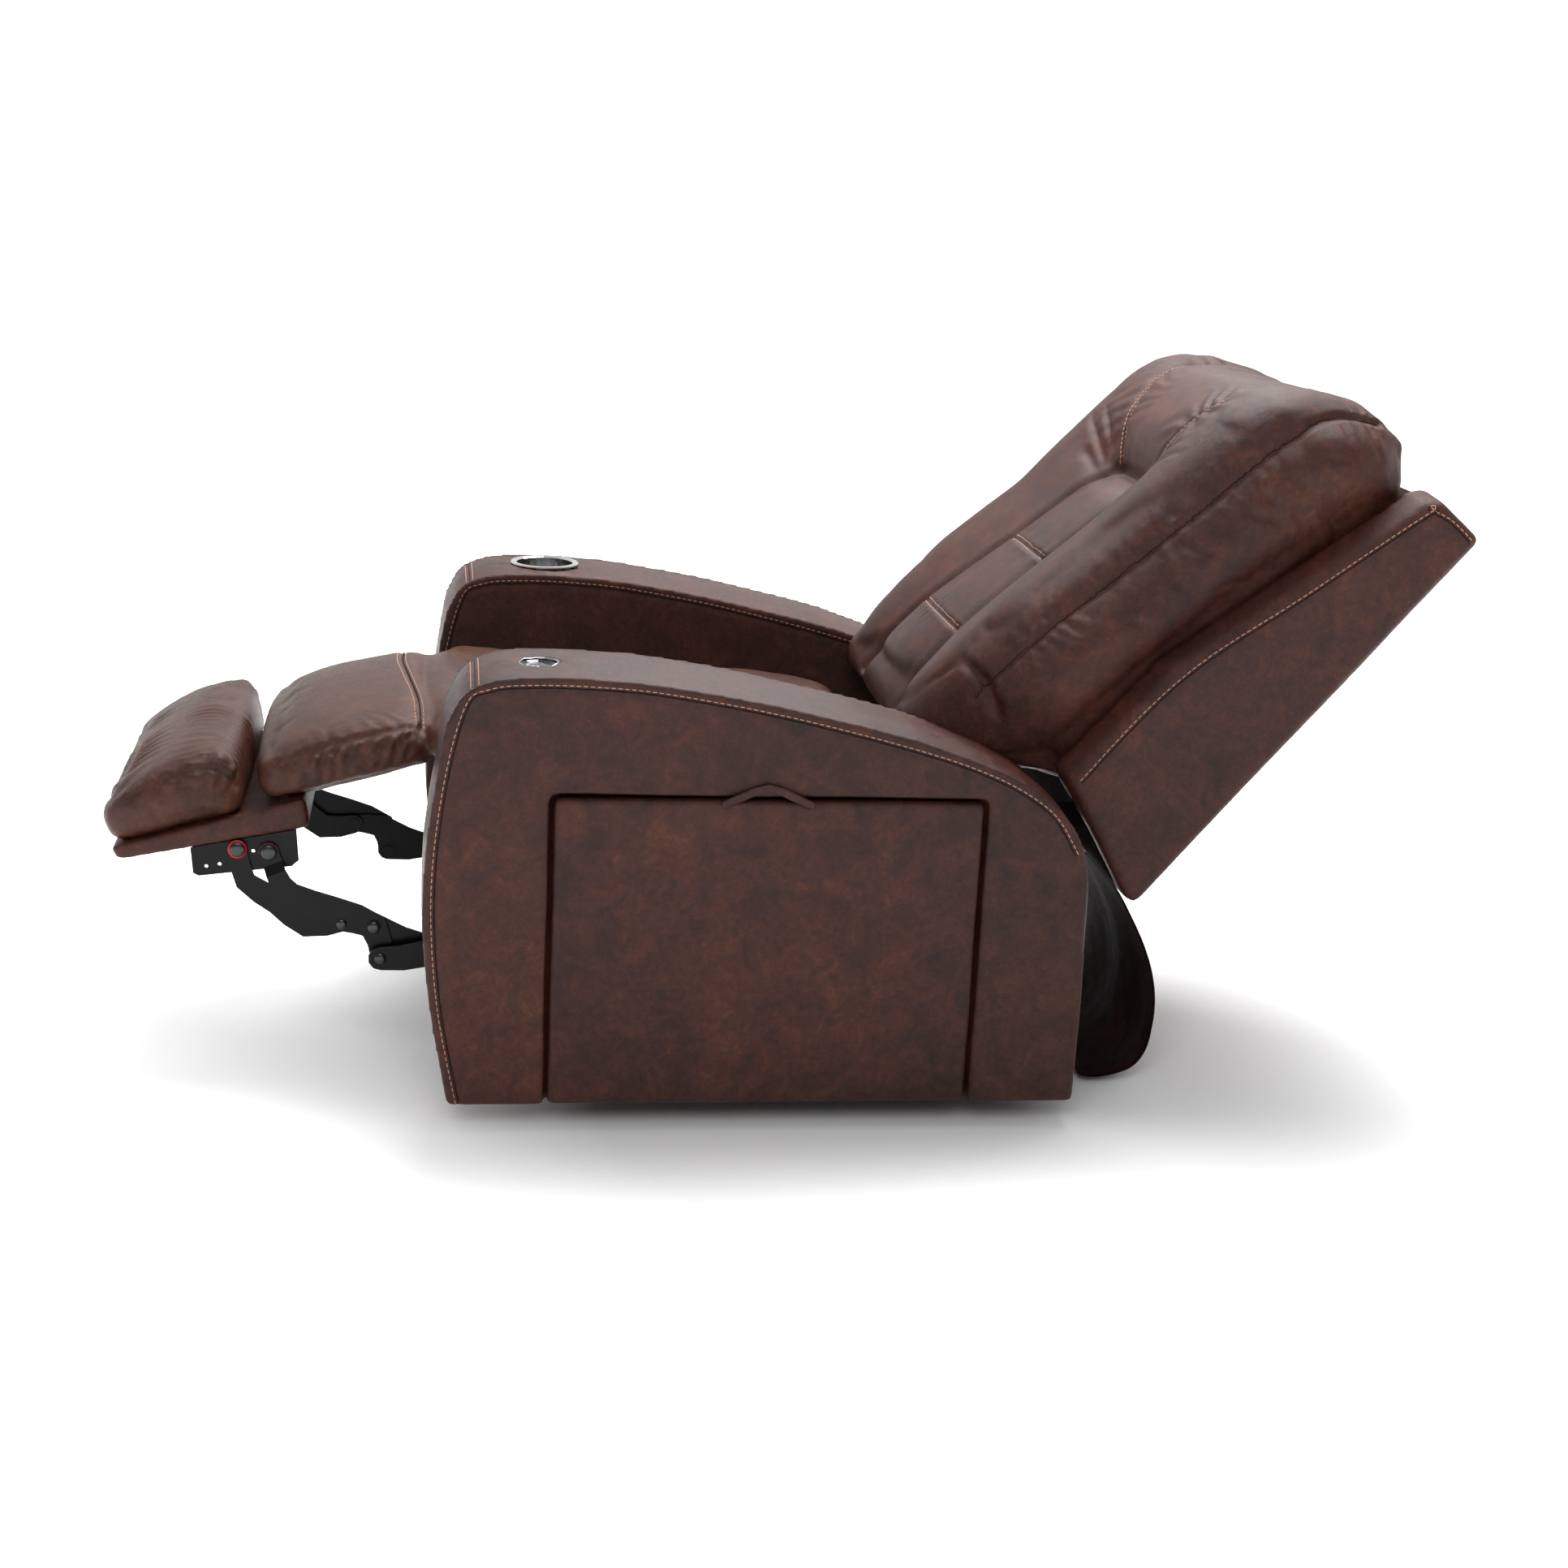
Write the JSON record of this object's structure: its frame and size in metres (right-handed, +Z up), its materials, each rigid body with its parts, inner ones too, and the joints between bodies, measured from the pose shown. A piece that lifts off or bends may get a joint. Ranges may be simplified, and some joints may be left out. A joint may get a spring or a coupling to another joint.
{
  "type": "lift chair",
  "caption": "Power lift recliner shown reclined: padded arms, bolstered back, cup holder, side pocket, folding footrest linkage, lift linkage and a hanging rear skirt.",
  "frame": {"origin": "on the floor, at the middle of the bounding box of the reclined chair", "axes": "+Z up, -Y the way the sitter faces, +X towards the sitter's left arm"},
  "size_m": [0.8553, 1.7696, 0.9531],
  "materials": {
    "leather": "two-tone mottled, fine grain",
    "black_steel": "satin",
    "stainless": "brushed",
    "dark_button": "gloss",
    "black_plastic": "matte",
    "plated_rod": "satin plated",
    "frame_wood": "unfinished"
  },
  "bodies": {
    "lift_base": {"base_rail_left": "black_steel", "base_rail_right": "black_steel", "glide_front_left": "black_plastic", "glide_front_right": "black_plastic", "glide_rear_left": "black_plastic", "glide_rear_right": "black_plastic", "base_front_tube": "black_steel", "base_rear_tube": "black_steel"},
    "rear_lift_links": {"rear_lift_link_left": "black_steel", "rear_lift_link_right": "black_steel", "lift_torque_tube": "black_steel"},
    "front_lift_links": {"front_lift_link_left": "black_steel", "front_lift_link_right": "black_steel"},
    "lift_motor": {"lift_actuator_housing": "black_plastic"},
    "lift_rod": {"lift_actuator_rod": "plated_rod"},
    "chair": {"side_plate_left": "black_steel", "side_plate_right": "black_steel", "arm_cleat_left": "frame_wood", "arm_cleat_right": "frame_wood", "arm_left": "leather", "arm_right": "leather", "seat_front_rail": "black_steel", "seat_rear_rail": "black_steel", "back_motor_beam": "black_steel", "control_box": "black_plastic", "seat_cushion": "leather", "cup_holder": "stainless", "arm_disc": "dark_button"},
    "back_motor": {"back_actuator_housing": "black_plastic"},
    "back_rod": {"back_actuator_rod": "plated_rod"},
    "front_links": {"front_link_left": "black_steel", "front_link_right": "black_steel", "footrest_tube": "black_steel"},
    "rear_links": {"rear_link_left": "black_steel", "rear_link_right": "black_steel"},
    "outer_links": {"outer_link_left": "black_steel", "outer_link_right": "black_steel"},
    "inner_links": {"inner_link_left": "black_steel", "inner_link_right": "black_steel"},
    "footrest": {"footrest_bracket_left": "black_steel", "footrest_bracket_right": "black_steel", "footrest_pad": "leather", "footrest_board": "leather"},
    "chaise": {"chaise_pad": "leather"},
    "side_pocket": {"pocket_panel": "leather", "pull_tab": "leather"},
    "backrest": {"back_shell": "leather", "back_post_left": "frame_wood", "back_post_right": "frame_wood", "back_bracket_left": "black_steel", "back_bracket_right": "black_steel", "bolster_left": "leather", "bolster_right": "leather", "back_rail_low": "frame_wood", "back_rail_middle": "frame_wood", "back_rail_top": "frame_wood", "back_crank_tube": "black_steel", "lumbar_cushion": "leather", "headrest": "leather", "rear_skirt": "leather"}
  },
  "joints": [
    {"name": "lift", "type": "hinge", "parent": "lift_base", "child": "rear_lift_links", "pos_m": [0, -0.236, 0.0848], "axis": [1, 0, 0], "range_deg": [0, 45.4]},
    {"name": "chair_tilt", "type": "hinge", "parent": "rear_lift_links", "child": "chair", "pos_m": [0, 0.2595, 0.1596], "axis": [1, 0, 0], "range_deg": [-17.5, 0.1]},
    {"name": "front_lift", "type": "hinge", "parent": "lift_base", "child": "front_lift_links", "pos_m": [0, -0.3248, 0.0694], "axis": [1, 0, 0], "range_deg": [-0.1, 61]},
    {"name": "lift_motor_swing", "type": "hinge", "parent": "lift_base", "child": "lift_motor", "pos_m": [0, 0.262, 0.076], "axis": [1, 0, 0], "range_deg": [-0.1, 2.6]},
    {"name": "lift_stroke", "type": "slide", "parent": "lift_motor", "child": "lift_rod", "axis": [0, -0.984, 0.178], "range_m": [-0.0005, 0.0583]},
    {"name": "backrest_recline", "type": "hinge", "parent": "chair", "child": "backrest", "pos_m": [0, 0.16, 0.36], "axis": [1, 0, 0], "range_deg": [0, 30], "deforming": ["rear_skirt"]},
    {"name": "back_motor_swing", "type": "hinge", "parent": "chair", "child": "back_motor", "pos_m": [0, -0.15, 0.282], "axis": [1, 0, 0], "range_deg": [-0.1, 2.1]},
    {"name": "back_stroke", "type": "slide", "parent": "back_motor", "child": "back_rod", "axis": [0, 0.9986, 0.0531], "range_m": [-0.0005, 0.0306]},
    {"name": "footrest_fold", "type": "hinge", "parent": "chair", "child": "front_links", "pos_m": [0, -0.3644, 0.3631], "axis": [1, 0, 0], "range_deg": [0, 71.67]},
    {"name": "rear_link_turn", "type": "hinge", "parent": "chair", "child": "rear_links", "pos_m": [0, -0.3543, 0.3264], "axis": [1, 0, 0], "range_deg": [-0.1, 71.3]},
    {"name": "outer_link_turn", "type": "hinge", "parent": "front_links", "child": "outer_links", "pos_m": [0, -0.5413, 0.214], "axis": [1, 0, 0], "range_deg": [-68.1, 0.1]},
    {"name": "inner_link_turn", "type": "hinge", "parent": "front_links", "child": "inner_links", "pos_m": [0, -0.5833, 0.218], "axis": [1, 0, 0], "range_deg": [-68.4, 0.1]},
    {"name": "footrest_turn", "type": "hinge", "parent": "outer_links", "child": "footrest", "pos_m": [0, -0.6776, 0.3127], "axis": [1, 0, 0], "range_deg": [-0.1, 71.4]},
    {"name": "chaise_turn", "type": "hinge", "parent": "chair", "child": "chaise", "pos_m": [0, -0.48, 0.44], "axis": [1, 0, 0], "range_deg": [-0.1, 60.2]},
    {"name": "side_pocket", "type": "hinge", "parent": "chair", "child": "side_pocket", "pos_m": [0.405, 0, 0.038], "axis": [0, 1, 0], "range_deg": [0, 20]}
  ],
  "couplings": [
    {"joint": "chair_tilt", "follows": "lift", "ratio": -0.38326},
    {"joint": "front_lift", "follows": "lift", "ratio": 1.3414},
    {"joint": "lift_motor_swing", "follows": "lift", "ratio": 0.053063},
    {"joint": "lift_stroke", "follows": "lift", "m_per_rad": 0.07288},
    {"joint": "back_motor_swing", "follows": "backrest_recline", "ratio": 0.063264},
    {"joint": "back_stroke", "follows": "backrest_recline", "m_per_rad": 0.057315},
    {"joint": "rear_link_turn", "follows": "footrest_fold", "ratio": 0.9926},
    {"joint": "outer_link_turn", "follows": "footrest_fold", "ratio": -0.94796},
    {"joint": "inner_link_turn", "follows": "footrest_fold", "ratio": -0.95214},
    {"joint": "footrest_turn", "follows": "footrest_fold", "ratio": 0.99442},
    {"joint": "chaise_turn", "follows": "footrest_fold", "ratio": 0.83717}
  ]
}
